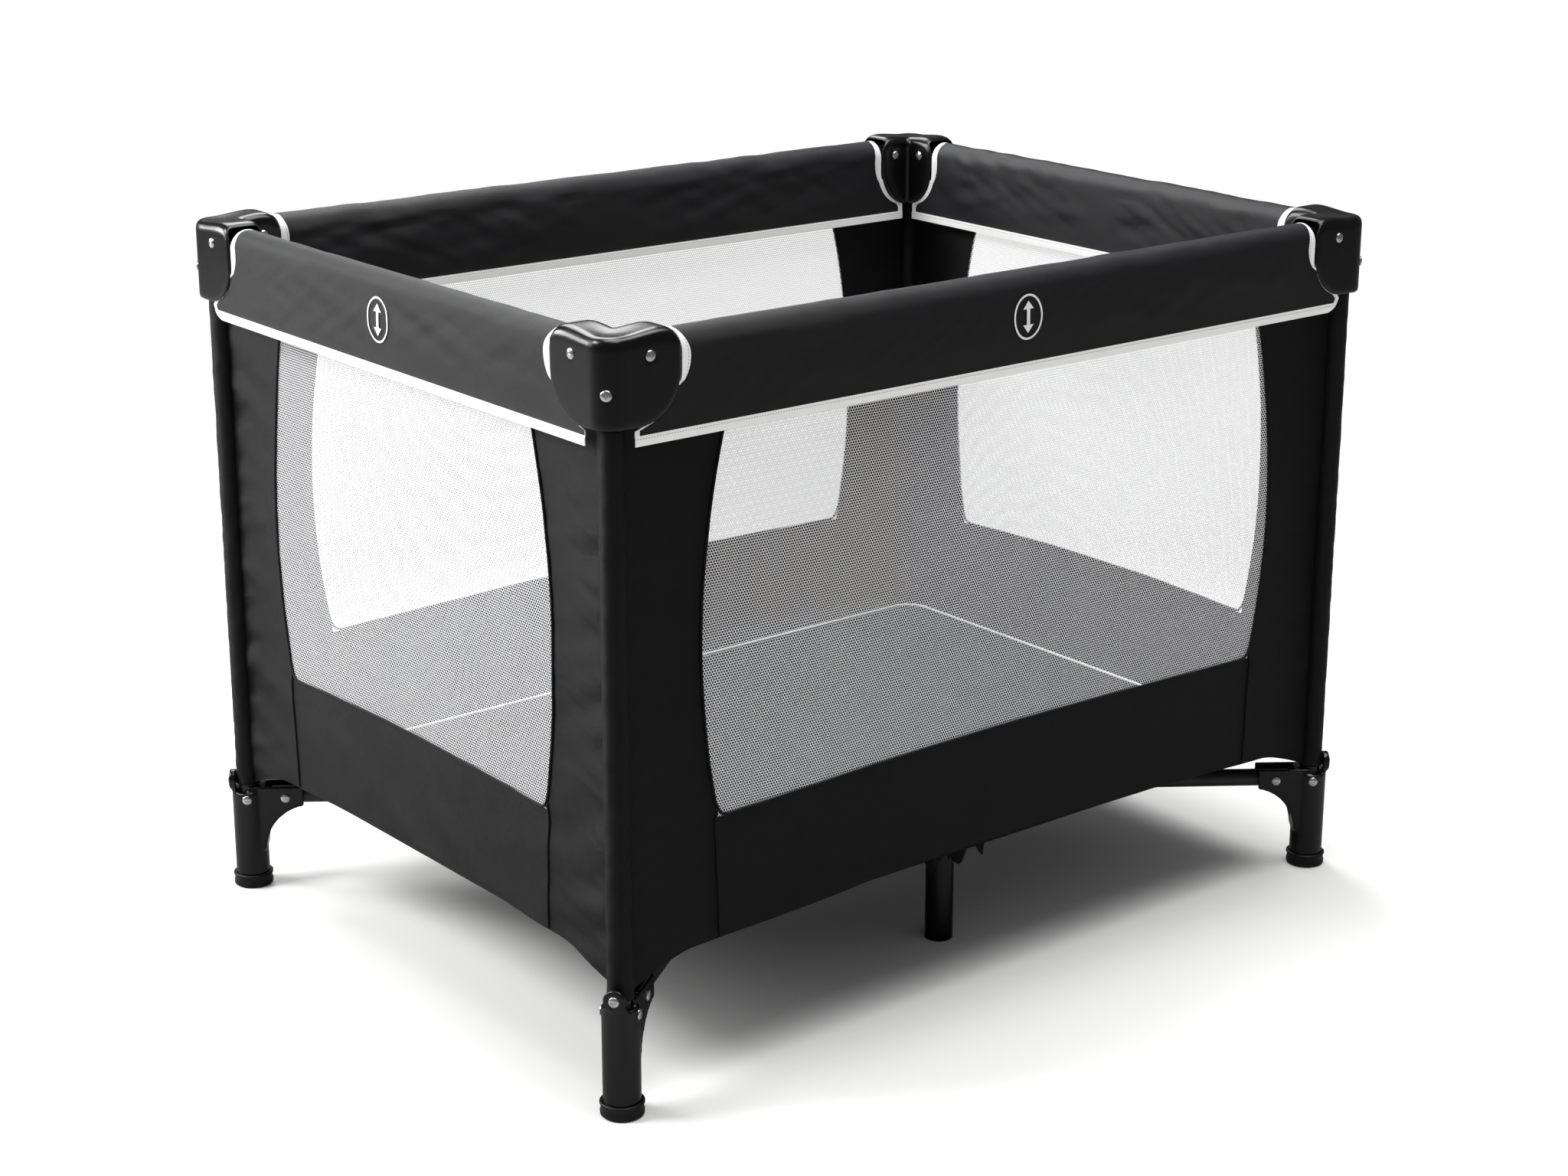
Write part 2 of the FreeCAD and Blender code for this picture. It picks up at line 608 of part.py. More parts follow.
def tray(name, x0, y0, z0, x1, y1, z1):
    """Block that widens upward from one half size to another."""
    obj = doc.addObject("Part::Wedge", name)
    for low, high, value in (
        ("Xmin", "Xmax", x0), ("Zmin", "Zmax", y0), ("X2min", "X2max", x1), ("Z2min", "Z2max", y1)):
        obj.setExpression(low, bind("-(%s)" % value))
        obj.setExpression(high, bind(value))
    obj.setExpression("Ymin", bind(z0))
    obj.setExpression("Ymax", bind(z1))
    obj.Placement = FreeCAD.Placement(
        FreeCAD.Vector(), FreeCAD.Rotation(FreeCAD.Vector(1, 0, 0), 90))
    return obj


floor_outer = tray("floor_outer", "legx - slopex", "legy - slopey", "hubtop", rim_x, rim_y, "rimtop")
floor_inner = tray(
    "floor_inner", "legx - slopex", "legy - slopey", "hubtop + floorcloth", rim_x, rim_y,
        "rimtop + floorcloth")
corner_cuts = [
    rod("corner_cut_" + tag, "cornercut", (x, y, "hubtop - over"), "rimtop - hubtop + 2 * over")
    for tag, x, y, turn, aim in CORNERS
]
node("floor_cloth", cut("floor_shape", floor_outer, [floor_inner] + corner_cuts))

bed = "hubtop + floorcloth"
mattress_parts = [
    box("bed_a", "mattresscorner - mattressx", "mattressx - mattresscorner", "-mattressy", "mattressy",
        bed, bed + " + mattressthick"),
    box("bed_b", "-mattressx", "mattressx", "mattresscorner - mattressy", "mattressy - mattresscorner",
        bed, bed + " + mattressthick"),
]
for sx, sy in (("", ""), ("-", ""), ("", "-"), ("-", "-")):
    spot = ("%s(mattressx - mattresscorner)" % sx, "%s(mattressy - mattresscorner)" % sy, bed)
    mattress_parts.append(rod("bed_corner", "mattresscorner", spot, "mattressthick"))
node("mattress", fuse("mattress_solid", mattress_parts))

# ---------------------------------------------------------------- check, export
doc.recompute()
for obj in doc.Objects:
    bad = [state for state in obj.State if state in ("Invalid", "Error")]
    if bad:
        raise RuntimeError("%s is in a bad state: %s" % (obj.Label, bad))
for obj in nodes:
    if obj.Shape.isNull() or not obj.Shape.isValid() or not obj.Shape.Solids:
        raise RuntimeError("%s has no valid shape" % obj.Label)
    obj.Shape.exportStep("parts/%s.step" % obj.Label)
print("%d nodes, %d solids" % (len(nodes), sum(len(obj.Shape.Solids) for obj in nodes)))
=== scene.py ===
import bpy
import bmesh
import math
from mathutils import Matrix, Vector, noise


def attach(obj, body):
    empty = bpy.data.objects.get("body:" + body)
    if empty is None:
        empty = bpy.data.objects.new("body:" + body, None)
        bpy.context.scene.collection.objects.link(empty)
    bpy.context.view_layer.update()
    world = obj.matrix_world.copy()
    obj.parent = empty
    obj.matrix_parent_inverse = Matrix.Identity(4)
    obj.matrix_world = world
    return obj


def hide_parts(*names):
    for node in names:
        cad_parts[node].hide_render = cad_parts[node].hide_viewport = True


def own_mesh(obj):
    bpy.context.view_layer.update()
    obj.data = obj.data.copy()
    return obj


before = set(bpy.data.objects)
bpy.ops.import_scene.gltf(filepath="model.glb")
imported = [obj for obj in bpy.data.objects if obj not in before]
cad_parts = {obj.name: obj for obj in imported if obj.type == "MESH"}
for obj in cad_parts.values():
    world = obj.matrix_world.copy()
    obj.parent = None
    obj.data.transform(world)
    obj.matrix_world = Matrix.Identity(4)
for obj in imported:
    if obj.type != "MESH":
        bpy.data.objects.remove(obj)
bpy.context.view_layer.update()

# ---------------------------------------------------------------- view and light
# A pale seamless paper floor that fades into a white surround. One soft lamp
# stands above the left shoulder and a wide one overhead, and two weaker ones
# behind and to the left skim the cloth, so that its folds show.
FRAME_WIDTH = 2048
LOOK_AT, CAMERA_DISTANCE = Vector((0.0556, -0.0637, 0.38)), 3.2628
camera_data = bpy.data.cameras.new("camera")
camera_data.sensor_width = 36.0
camera_data.lens = 3767.6 / FRAME_WIDTH * 36
camera_data.shift_x = -99.27 / FRAME_WIDTH
camera_data.shift_y = -30.03 / FRAME_WIDTH
camera_data.clip_end = 60
camera = bpy.data.objects.new("camera", camera_data)
bpy.context.scene.collection.objects.link(camera)
turn, lift, tilt = math.radians(-40.3666), math.radians(17.0958), math.radians(0.5319)
back = Vector((math.sin(turn) * math.cos(lift), -math.cos(turn) * math.cos(lift), math.sin(lift)))
camera.location = LOOK_AT + back * CAMERA_DISTANCE
aimed_camera = back.to_track_quat("Z", "Y").to_matrix() @ Matrix.Rotation(tilt, 3, "Z")
camera.rotation_euler = aimed_camera.to_euler()
bpy.context.scene.camera = camera
bpy.context.scene.view_settings.view_transform = "Standard"


class Wire:
    """A socket of a material. Arithmetic on it adds Math nodes."""

    def __init__(self, socket):
        self.socket = socket

    def node(self, kind, settings=None, sockets=None, out=0):
        """Adds a node of any kind: its settings first, then values or wires for its sockets."""
        tree = self.socket.id_data
        made = tree.nodes.new(kind)
        for name, value in (settings or {}).items():
            setattr(made, name, value)
        for key, value in (sockets or {}).items():
            if isinstance(value, Wire):
                tree.links.new(value.socket, made.inputs[key])
            else:
                made.inputs[key].default_value = value
        return Wire(made.outputs[out])

    def maths(self, operation, *terms):
        terms = (self,) + terms
        return self.node("ShaderNodeMath", {"operation": operation}, dict(enumerate(terms)))

    def __add__(self, other):
        return self.maths("ADD", other)

    __radd__ = __add__

    def __mul__(self, other):
        return self.maths("MULTIPLY", other)

    __rmul__ = __mul__

    def __sub__(self, other):
        return self.maths("SUBTRACT", other)

    def __rsub__(self, other):
        return (self * -1.0) + other

    def part(self, axis):
        return self.node("ShaderNodeSeparateXYZ", None, {"Vector": self}, "XYZ".index(axis))

    def smooth(self, low, high):
        """0 below low, 1 above high."""
        return self.node("ShaderNodeMapRange", {"interpolation_type": "SMOOTHSTEP"}, {
            "Value": self, "From Min": low, "From Max": high})

    def noise(self, scale, detail=3.0, rough=0.5):
        return self.node("ShaderNodeTexNoise", None, {
            "Vector": self, "Scale": scale, "Detail": detail, "Roughness": rough})

    def between(self, first, second):
        """Mixes two colours, this wire being the share of the second."""
        return self.node("ShaderNodeMix", {"data_type": "RGBA"}, {0: self, 6: first, 7: second}, 2)


def finish_of(name, **fixed):
    """A new material: its shader node and the wire of its Object coordinates."""
    material = bpy.data.materials.new(name)
    material.use_nodes = True
    shader = material.node_tree.nodes["Principled BSDF"]
    for key, value in fixed.items():
        shader.inputs[key.replace("_", " ")].default_value = value
    places = material.node_tree.nodes.new("ShaderNodeTexCoord")
    return material, shader, Wire(places.outputs["Object"])


def feed(shader, socket, wire):
    """Links a wire to a named socket of a shader."""
    shader.id_data.links.new(wire.socket, shader.inputs[socket])


def bump(shader, height, distance, strength):
    """Raises the surface by a height from 0 to 1, times a distance in metres."""
    feed(shader, "Normal", height.node("ShaderNodeBump", None, {
        "Height": height, "Distance": distance, "Strength": strength}))


def rays_in(tree):
    """Wires that are 1 for camera rays, for glossy rays and for transmission rays."""
    path = tree.nodes.new("ShaderNodeLightPath")
    return [Wire(path.outputs[key]) for key in ("Is Camera Ray", "Is Glossy Ray", "Is Transmission Ray")]


FLOOR_HALF, FADE_START, FADE_END = 14, 0.75, 1.5
floor_mesh = bmesh.new()
bmesh.ops.create_grid(floor_mesh, x_segments=1, y_segments=1, size=FLOOR_HALF)
floor_data = bpy.data.meshes.new("studio_floor")
floor_mesh.to_mesh(floor_data)
floor_mesh.free()
studio_floor = bpy.data.objects.new("studio_floor", floor_data)
bpy.context.scene.collection.objects.link(studio_floor)
studio_floor.location.z = -0.0005
paper, paper_shader, place = finish_of("studio_paper", Roughness=0.9)
paper_shader.inputs["Specular IOR Level"].default_value = 0.0
reach = place.node("ShaderNodeVectorMath", {"operation": "LENGTH"}, {0: place}, 1)
fade = reach.smooth(FADE_START, FADE_END)
straight, glossy, through = rays_in(paper.node_tree)
seen = straight.maths("MAXIMUM", through)
# In reflections the paper is painted dark grey instead of near white. This is painted shade that keeps
# the floor from showing in the black cloth and plastic.
feed(paper_shader, "Base Color", glossy.between((0.96, 0.955, 0.95, 1), (0.3, 0.3, 0.3, 1)))
glow = place.node("ShaderNodeEmission", None, {"Color": (1, 1, 1, 1), "Strength": 1.0})
blend_paper = place.node("ShaderNodeMixShader", None, {
    0: fade * seen, 1: Wire(paper_shader.outputs[0]), 2: glow})
paper.node_tree.links.new(blend_paper.socket, paper.node_tree.nodes["Material Output"].inputs["Surface"])
floor_data.materials.append(paper)

world = bpy.data.worlds.new("surround")
bpy.context.scene.world = world
world.use_nodes = True
sky = world.node_tree.nodes["Background"]
sky.inputs["Color"].default_value = (1, 1, 1, 1)
AMBIENT, MIRRORED = 0.22, 0.12
straight, glossy, through = rays_in(world.node_tree)
seen = straight.maths("MAXIMUM", through)
feed(sky, "Strength", seen.maths("MAXIMUM", (1 - glossy) * AMBIENT + glossy * MIRRORED))

for name, spot, size, power in (
        ("lamp_left", (-2.8, 1.4, 3.0), 1.3, 120), ("lamp_top", (0.3, -0.4, 3.6), 2.6, 135),
        ("lamp_back", (0.8, 2.4, 3.0), 1.8, 70), ("lamp_side", (-2.3, 2.7, 1.4), 1.2, 75)):
    lamp = bpy.data.lights.new(name, "AREA")
    lamp.size = size
    lamp.energy = power
    lamp_object = bpy.data.objects.new(name, lamp)
    lamp_object.location = spot
    away_from_pen = Vector(spot) - Vector((0, 0, 0.35))
    lamp_object.rotation_euler = away_from_pen.to_track_quat("Z", "Y").to_euler()
    bpy.context.scene.collection.objects.link(lamp_object)

# ---------------------------------------------------------------- moulded corners and feet
# Black injection-moulded nylon: the corner brackets, the feet with their tube
# forks, and the hidden latch housings, buttons and hub. Fine spark-eroded
# grain with a satin shine, a little polished where hands and floors rub.
moulded, shader, place = finish_of("black_nylon", Specular_IOR_Level=0.45)
patchy = place.noise(38, 4)
grain = place.noise(2600, 2)
scuffs = place.noise(160, 5, 0.7).smooth(0.62, 0.78)
feed(shader, "Base Color", scuffs.between((0.0015, 0.0015, 0.0018, 1), (0.005, 0.005, 0.0055, 1)))
feed(shader, "Roughness", patchy * 0.10 + scuffs * 0.12 + 0.20)
bump(shader, grain * 0.7 + place.noise(700, 2) * 0.3, 0.00006, 0.6)


def piece(name, mesh, material, body, smooth=True):
    """A new object from a bmesh, finished and set on its body."""
    data = bpy.data.meshes.new(name)
    mesh.to_mesh(data)
    mesh.free()
    if smooth:
        data.shade_smooth()
    made = bpy.data.objects.new(name, data)
    bpy.context.scene.collection.objects.link(made)
    for one in material if isinstance(material, (list, tuple)) else [material]:
        data.materials.append(one)
    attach(made, body)
    return made


def smooth_once(mesh):
    bmesh.ops.smooth_vert(
        mesh, verts=mesh.verts, factor=0.5, use_axis_x=True, use_axis_y=True, use_axis_z=True)


def finish_nodes(material, *starts):
    """Gives a material to the CAD nodes whose names start so."""
    for name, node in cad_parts.items():
        if name.startswith(starts):
            node.data.materials.clear()
            node.data.materials.append(material)


def unit(value):
    """The value, held between 0 and 1."""
    return min(max(value, 0), 1)


def softened(node, voxel, passes):
    """A bmesh of a CAD node with the rounded edges of a moulding."""
    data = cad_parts[node].data.copy()
    holder = bpy.data.objects.new("holder", data)
    bpy.context.scene.collection.objects.link(holder)
    grid = holder.modifiers.new("grid", "REMESH")
    grid.mode = "VOXEL"
    grid.voxel_size = voxel
    ease = holder.modifiers.new("ease", "SMOOTH")
    ease.factor = 0.5
    ease.iterations = passes
    depsgraph = bpy.context.evaluated_depsgraph_get()
    mesh = bmesh.new()
    mesh.from_mesh(bpy.data.meshes.new_from_object(holder.evaluated_get(depsgraph)))
    bpy.data.objects.remove(holder)
    return mesh


LEG_X, LEG_Y = 0.4975, 0.3644
BRACKET_VOXEL, FOOT_VOXEL = 0.0016, 0.0017
FACE, WING = 0.0225, 0.065
EDGE_ROUND, EDGE_SHARE = 0.011, 0.7
CROWN_START, CROWN_RISE = 0.750, 0.022
CORNER_DIP, DIP_WIDTH = 0.005, 0.03
END_DROP, END_START, END_RUN = 0.003, 0.045, 0.03
corners = {
    "nl": (-LEG_X, -LEG_Y), "nr": (LEG_X, -LEG_Y), "fr": (LEG_X, LEG_Y), "fl": (-LEG_X, LEG_Y)}
turns = {"nl": 0, "nr": 90, "fr": 180, "fl": 270}


def depth_inside(p):
    """How far a point of the plan lies inside the outline of a bracket."""
    if p.x < 0 and p.y < 0:
        return FACE - math.hypot(p.x, p.y)
    wing_x = min(p.x + FACE, WING - p.x, FACE - abs(p.y))
    wing_y = min(p.y + FACE, WING - p.y, FACE - abs(p.x))
    return max(wing_x, wing_y)


for corner, (x, y) in corners.items():
    bracket = softened("corner_bracket_" + corner, BRACKET_VOXEL, 10)
    unturn = Matrix.Rotation(math.radians(-turns[corner]), 3, "Z")
    for v in bracket.verts:
        local = unturn @ (v.co - Vector((x, y, 0)))
        high = unit((v.co.z - CROWN_START) / CROWN_RISE) ** 2
        near_edge = EDGE_ROUND - min(max(depth_inside(local), 0), EDGE_ROUND)
        rounding = EDGE_ROUND - math.sqrt(EDGE_ROUND ** 2 - near_edge ** 2)
        away = math.hypot(local.x, local.y)
        dip = CORNER_DIP * math.exp(-(away / DIP_WIDTH) ** 2)
        dip += END_DROP * max(0, (away - END_START) / END_RUN)
        v.co.z -= high * (dip + rounding * EDGE_SHARE)
    for smoothing in range(6):
        smooth_once(bracket)
    made = piece("bracket_" + corner, bracket, moulded, "post_" + corner)
    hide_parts("corner_bracket_" + corner)
    foot = softened("foot_" + corner, FOOT_VOXEL, 3)
    made = piece("foot_moulding_" + corner, foot, moulded, "post_" + corner)
    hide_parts("foot_" + corner)
finish_nodes(moulded, "latch", "hub", "mid_leg")

# ---------------------------------------------------------------- foot caps
# Soft black rubber cups pushed over the ends of the feet. Each has a rolled
# upper lip that stands out from the foot and a rounded edge at the floor.
rubber, shader, place = finish_of("black_rubber", Specular_IOR_Level=0.3)
dust = place.noise(90, 4).smooth(0.5, 0.75)
feed(shader, "Base Color", dust.between((0.004, 0.004, 0.0045, 1), (0.012, 0.0115, 0.011, 1)))
feed(shader, "Roughness", dust * 0.2 + 0.42)
bump(shader, place.noise(1500, 2), 0.00008, 0.6)
cap_outline = (  # radius and height, from the middle of the sole to the inner lip
    (0.0, 0.0), (0.0205, 0.0), (0.0219, 0.0012), (0.0221, 0.0045), (0.0212, 0.0072),
    (0.0213, 0.0105), (0.0224, 0.0122), (0.0224, 0.0138), (0.0212, 0.0149), (0.0193, 0.0146))
for corner, (x, y) in corners.items():
    cap = bmesh.new()
    ring = [cap.verts.new((r, 0, z)) for r, z in cap_outline]
    edges = [cap.edges.new(pair) for pair in zip(ring, ring[1:])]
    bmesh.ops.spin(
        cap, geom=ring + edges, cent=(0, 0, 0), axis=(0, 0, 1), angle=math.tau, steps=48, use_merge=True)
    bmesh.ops.remove_doubles(cap, verts=cap.verts, dist=1e-5)
    bmesh.ops.recalc_face_normals(cap, faces=cap.faces)
    bmesh.ops.translate(cap, verts=cap.verts, vec=(x, y, 0))
    made = piece("cap_" + corner, cap, rubber, "post_" + corner)
    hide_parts("foot_cap_" + corner)

# ---------------------------------------------------------------- screws
# Zinc-plated machine screws with low domed heads and a pressed cross recess.
# They hold the rail pivots, the leg tops, the feet and the base tubes.
zinc, shader, place = finish_of("zinc_plate", Metallic=1.0)
brushed = place.noise(900, 3)
feed(shader, "Base Color", brushed.between((0.7, 0.7, 0.7, 1), (0.86, 0.86, 0.85, 1)))
feed(shader, "Roughness", brushed * 0.18 + 0.16)
bump(shader, brushed, 0.00003, 0.5)
HEAD, DOME_SHARE = 0.0055, 0.42
CROSS_LONG, CROSS_WIDE, CROSS_TALL = 0.0052, 0.0011, 0.0026
RAIL_Z, RAIL_SCREW, INNER_SCREW = 0.755, 0.029, 0.0435
LEG_SCREW, LEG_SCREW_Z = 0.0159, 0.723
BASE_Z, BASE_SCREW, FORK_HALF = 0.1075, 0.0425, 0.0143
FOOT_HALF, EAR_OUT, EAR_Z = 0.019, 0.021, 0.127
dome = bmesh.new()
bmesh.ops.create_uvsphere(dome, u_segments=32, v_segments=16, radius=HEAD)
bmesh.ops.bisect_plane(
    dome, geom=dome.verts[:] + dome.edges[:] + dome.faces[:],
    plane_co=(0, 0, 0), plane_no=(0, 0, -1), clear_outer=True)
bmesh.ops.holes_fill(dome, edges=[e for e in dome.edges if e.is_boundary], sides=0)
bmesh.ops.scale(dome, verts=dome.verts, vec=(1, 1, DOME_SHARE))
dome_data = bpy.data.meshes.new("dome")
dome.to_mesh(dome_data)
dome.free()
cross = bmesh.new()
for wide, deep in ((CROSS_LONG, CROSS_WIDE), (CROSS_WIDE, CROSS_LONG)):
    bar = bmesh.ops.create_cube(cross, size=1)["verts"]
    bmesh.ops.scale(cross, verts=bar, vec=(wide, deep, CROSS_TALL))
    bmesh.ops.translate(cross, verts=bar, vec=(0, 0, CROSS_TALL))
cross_data = bpy.data.meshes.new("cross")
cross.to_mesh(cross_data)
cross.free()
dome_holder = bpy.data.objects.new("dome_holder", dome_data)
cross_holder = bpy.data.objects.new("cross_holder", cross_data)
for holder in (dome_holder, cross_holder):
    bpy.context.scene.collection.objects.link(holder)
recess = dome_holder.modifiers.new("recess", "BOOLEAN")
recess.operation = "DIFFERENCE"
recess.use_self = True
recess.object = cross_holder
cut_dome = dome_holder.evaluated_get(bpy.context.evaluated_depsgraph_get())
head_data = bpy.data.meshes.new_from_object(cut_dome)
for holder in (dome_holder, cross_holder):
    bpy.data.objects.remove(holder)


def screw_heads(name, spots, body, node):
    """Domed heads at (place, outward direction) pairs, in one piece that stands for a node."""
    heads = bmesh.new()
    for spot, out in spots:
        start = len(heads.verts)
        heads.from_mesh(head_data)
        heads.verts.ensure_lookup_table()
        turned = Matrix.Translation(spot) @ out.to_track_quat("Z", "Y").to_matrix().to_4x4()
        bmesh.ops.transform(heads, matrix=turned, verts=heads.verts[start:])
    made = piece(name, heads, zinc, body, smooth=False)
    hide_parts(node)


def placed(spots, turn, middle):
    """(place, direction) pairs of plain numbers, turned and moved into the frame."""
    return [(turn @ Vector(spot) + middle, turn @ Vector(out)) for spot, out in spots]


for corner, (x, y) in corners.items():
    swing = Matrix.Rotation(math.radians(turns[corner]), 3, "Z")
    here = Vector((x, y, 0))
    bracket_spots = [
        ((RAIL_SCREW, -FACE, RAIL_Z), (0, -1, 0)), ((-FACE, RAIL_SCREW, RAIL_Z), (-1, 0, 0)),
        ((INNER_SCREW, FACE, RAIL_Z), (0, 1, 0)), ((FACE, INNER_SCREW, RAIL_Z), (1, 0, 0)),
        ((-LEG_SCREW, -LEG_SCREW, LEG_SCREW_Z), (-1, -1, 0))]
    screw_heads("bracket_heads_" + corner, placed(bracket_spots, swing, here),
                "post_" + corner, "bracket_screws_" + corner)
    to_middle = Matrix.Rotation(math.atan2(-y, -x), 3, "Z")
    foot_spots = []
    for side in (-1, 1):
        foot_spots.append(((BASE_SCREW, side * FORK_HALF, BASE_Z), (0, side, 0)))
        foot_spots.append(((0, side * FOOT_HALF, BASE_Z), (0, side, 0)))
    foot_spots.append(((-EAR_OUT, 0, EAR_Z), (-1, 0, 0)))
    screw_heads("foot_heads_" + corner, placed(foot_spots, to_middle, here),
                "post_" + corner, "foot_screws_" + corner)
finish_nodes(zinc, "hub_pins")

# ---------------------------------------------------------------- frame tubes
# Thin-walled steel tube, powder coated dark grey: the legs, the rail halves,
# the four base tubes and the two middle arms.
coat, shader, place = finish_of("powder_coat")
peel = place.noise(420, 3)
drift = place.noise(30, 3)
feed(shader, "Base Color", drift.between((0.010, 0.010, 0.012, 1), (0.018, 0.018, 0.020, 1)))
feed(shader, "Roughness", peel * 0.15 + 0.3)
bump(shader, peel, 0.0001, 0.5)
finish_nodes(coat, "leg_tube", "rail_tube", "base_tube", "mid_arm")

# ---------------------------------------------------------------- cloth of the walls
# Black woven polyester, cut as a frame round each mesh window and sewn to the
# leg sleeves. It is gathered at the leg seams and pulls into soft folds below
# the windows. Each side is made as two halves that meet mid-side.
black_cloth, shader, place = finish_of("black_polyester", Specular_IOR_Level=0.24)
run = place.part("X") + place.part("Y")
rise = place.part("Z")
THREAD = 0.00055


def woven(run, rise, thread):
    """A plain weave's height: threads run both ways at a pitch."""
    return (run * (math.tau / thread)).maths("SINE") * (rise * (math.tau / thread)).maths("SINE")


weave = woven(run, rise, THREAD)
slub = place.noise(260, 3)
feed(shader, "Base Color", slub.between((0.0014, 0.0014, 0.0019, 1), (0.0032, 0.0032, 0.0043, 1)))
feed(shader, "Roughness", slub * 0.14 + weave * 0.04 + 0.38)
bump(shader, weave * 0.5 + slub * 0.8, 0.00025, 0.55)

sides = {
    "front": (Vector((0, -LEG_Y, 0)), 0, LEG_X, ("nl", "nr")),
    "right": (Vector((LEG_X, 0, 0)), 90, LEG_Y, ("nr", "fr")),
    "back": (Vector((0, LEG_Y, 0)), 180, LEG_X, ("fr", "fl")),
    "left": (Vector((-LEG_X, 0, 0)), 270, LEG_Y, ("fl", "nl")),
}
halves = []
for side, (middle, angle, span, ends) in sides.items():
    swing = Matrix.Rotation(math.radians(angle), 3, "Z")
    for hand, corner in zip((-1, 1), ends):
        halves.append((side, middle, swing, span, hand, corner))
LEG_SEAM = 0.0127
SEAM_TUCK = 0.0008
WALL_TOP, OPEN_TOP = 0.687, 0.680
WINDOW_RUN, WINDOW_BOW, WAIST_Z, WAIST_REACH = 0.100, 0.022, 0.455, 0.19
WINDOW_FOOT, FOOT_BOW = 0.279, 0.008
HEM, HEM_BOW, HEM_RUN = 0.150, 0.012, 0.04
HEM_DROP, DROP_RUN = 0.024, 0.045
CLOTH_THICK = 0.0009


def on_side(middle, swing, span, hand, run, out, height):
    """World place of a point: run from the leg axis, out from the wall plane."""
    return middle + swing @ Vector((hand * (span - run), -out, height))


def window_edge(z):
    """Run of the window's side edge, which bows towards the leg at its waist."""
    return WINDOW_RUN + WINDOW_BOW * ((z - WAIST_Z) / WAIST_REACH) ** 2


def bowed(run, start, span):
    """From 0 at a start to 1 at mid-side, flat there."""
    return math.sin(math.pi / 2 * unit((run - start) / (span - start)))


def window_foot(run, span):
    """Height of the window's lower edge."""
    return WINDOW_FOOT + FOOT_BOW * bowed(run, WINDOW_RUN, span)


def hem_line(run, span):
    """Height of the wall's hem, which dips to the foot at each leg."""
    corner = HEM_DROP * max(0, 1 - (run - LEG_SEAM) / DROP_RUN) ** 1.5
    return HEM + HEM_BOW * bowed(run, HEM_RUN, span) - corner


def wave(a, b, c):
    """Smooth noise between about -1 and 1."""
    return noise.noise(Vector((a, b, c)))


SIDE_SEEDS = {"front": 1.3, "right": 9.1, "back": 17.7, "left": 26.9}
PULL = {"front": 0.9, "right": 1.8, "back": 1.0, "left": 2.0}
GATHER, GATHER_RUN = 0.0024, 0.045
LOW_FOLD, LOW_HIGH = 0.0030, 0.15
CALM, RIPPLE = 0.0012, 0.0006


def crease(side, hand, span, run, z):
    """How far the cloth stands out of its plane: gathers at the leg, folds below."""
    seed, spot = SIDE_SEEDS[side], hand * (span - run)
    near = math.exp(-max(run - LEG_SEAM, 0) / GATHER_RUN) * min((run - LEG_SEAM + 0.003) / 0.012, 1)
    near *= PULL[side]
    bands = wave(z * 34 + run * 12, run * 6, seed + hand)
    bands += 0.6 * wave(z * 85 - run * 25, run * 16, seed + 3 + hand)
    low = unit(1 - (z - HEM) / LOW_HIGH)
    folds = low * LOW_FOLD * wave(spot * 14 + z * 20, z * 8, seed + 7)
    calm = CALM * wave(spot * 8, z * 6, seed + 11) + RIPPLE * wave(spot * 28, z * 24, seed + 17)
    return near * GATHER * bands + folds + calm


def squash_half(made, swing, middle, span, hand):
    """Gives a half of the cloth a mesh of its own."""
    along = swing @ Vector((1, 0, 0))
    anchor = on_side(middle, swing, span, hand, 0, 0, 0)
    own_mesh(made)


def crisp_rim(mesh):
    """Keeps the cut edges of a cloth from shading round."""
    for edge in mesh.edges:
        edge.smooth = not edge.is_boundary


def thicken(made, thickness, offset):
    """Gives a sheet its thickness, to one side or about its middle."""
    skin = made.modifiers.new("thickness", "SOLIDIFY")
    skin.thickness = thickness
    skin.offset = offset


